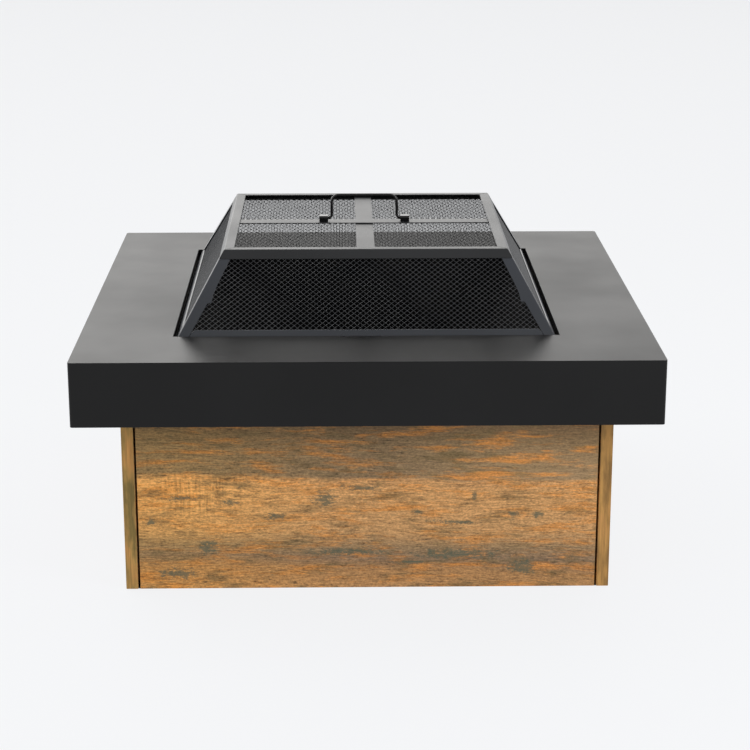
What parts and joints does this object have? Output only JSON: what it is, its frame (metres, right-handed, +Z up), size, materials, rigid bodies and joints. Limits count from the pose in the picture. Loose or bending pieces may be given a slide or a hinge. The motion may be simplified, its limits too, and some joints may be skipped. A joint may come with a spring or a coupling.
{
  "type": "fire pit",
  "caption": "Square outdoor fire pit table: a folded steel mantel on a wood-look base, a drop-in fire bowl with a log grate, and a mesh spark screen with a folding handle.",
  "frame": {"origin": "on the floor under the middle of the table", "axes": "+Z up, the front faces -Y, +X to the right seen from the front"},
  "size_m": [0.762, 0.762, 0.472],
  "materials": {
    "mantel_powder_coat": "satin dark grey powder coat",
    "screen_powder_coat": "satin grey powder coat on strip steel",
    "expanded_mesh": "satin dark grey coat on expanded metal",
    "bowl_steel": "matt black heat-resisting paint",
    "grate_iron": "matt black iron bar",
    "wood_look_board": "printed weathered oak planks with a satin seal",
    "zinc_hardware": "zinc plated",
    "handle_wire": "gloss black wire",
    "black_clip": "gloss black enamel"
  },
  "bodies": {
    "stand": {"mantel": "mantel_powder_coat", "base_panel_front": "wood_look_board", "base_panel_right": "wood_look_board", "base_panel_rear": "wood_look_board", "base_panel_left": "wood_look_board", "corner_post_front_left": "zinc_hardware", "corner_post_front_right": "zinc_hardware", "corner_post_rear_right": "zinc_hardware", "corner_post_rear_left": "zinc_hardware", "mantel_nut_front_left": "zinc_hardware", "mantel_nut_front_right": "zinc_hardware", "mantel_nut_rear_right": "zinc_hardware", "mantel_nut_rear_left": "zinc_hardware", "panel_screw_front_left_a": "zinc_hardware", "panel_screw_front_left_b": "zinc_hardware", "panel_screw_front_right_a": "zinc_hardware", "panel_screw_front_right_b": "zinc_hardware", "panel_screw_rear_right_a": "zinc_hardware", "panel_screw_rear_right_b": "zinc_hardware", "panel_screw_rear_left_a": "zinc_hardware", "panel_screw_rear_left_b": "zinc_hardware"},
    "bowl": {"fire_bowl": "bowl_steel"},
    "grate": {"grate_rail_front": "grate_iron", "grate_rail_rear": "grate_iron", "grate_bar_1": "grate_iron", "grate_bar_2": "grate_iron", "grate_bar_3": "grate_iron", "grate_bar_4": "grate_iron", "grate_bar_5": "grate_iron"},
    "spark_screen": {"screen_top_strip_front": "screen_powder_coat", "screen_top_strip_right": "screen_powder_coat", "screen_top_strip_rear": "screen_powder_coat", "screen_top_strip_left": "screen_powder_coat", "screen_foot_strip_front": "screen_powder_coat", "screen_foot_strip_right": "screen_powder_coat", "screen_foot_strip_rear": "screen_powder_coat", "screen_foot_strip_left": "screen_powder_coat", "screen_mesh_front": "expanded_mesh", "screen_mesh_right": "expanded_mesh", "screen_mesh_rear": "expanded_mesh", "screen_mesh_left": "expanded_mesh", "screen_corner_strip_front_left": "screen_powder_coat", "screen_corner_strip_front_right": "screen_powder_coat", "screen_corner_strip_rear_right": "screen_powder_coat", "screen_corner_strip_rear_left": "screen_powder_coat", "screen_mesh_top": "expanded_mesh", "screen_centre_bar": "screen_powder_coat", "screen_cross_bar": "screen_powder_coat", "handle_clip_left": "black_clip", "handle_clip_right": "black_clip"},
    "bail": {"handle": "handle_wire"}
  },
  "joints": [
    {"name": "bowl_lift", "type": "slide", "parent": "stand", "child": "bowl", "axis": [0, 0, 1], "range_m": [0, 0.2]},
    {"name": "grate_lift", "type": "slide", "parent": "bowl", "child": "grate", "axis": [0, 0, 1], "range_m": [0, 0.17]},
    {"name": "screen_lift", "type": "slide", "parent": "bowl", "child": "spark_screen", "axis": [0, 0, 1], "range_m": [0, 0.2]},
    {"name": "handle_fold", "type": "hinge", "parent": "spark_screen", "child": "bail", "pos_m": [0, 0, 0.4365], "axis": [1, 0, 0], "range_deg": [-91, 91]}
  ]
}
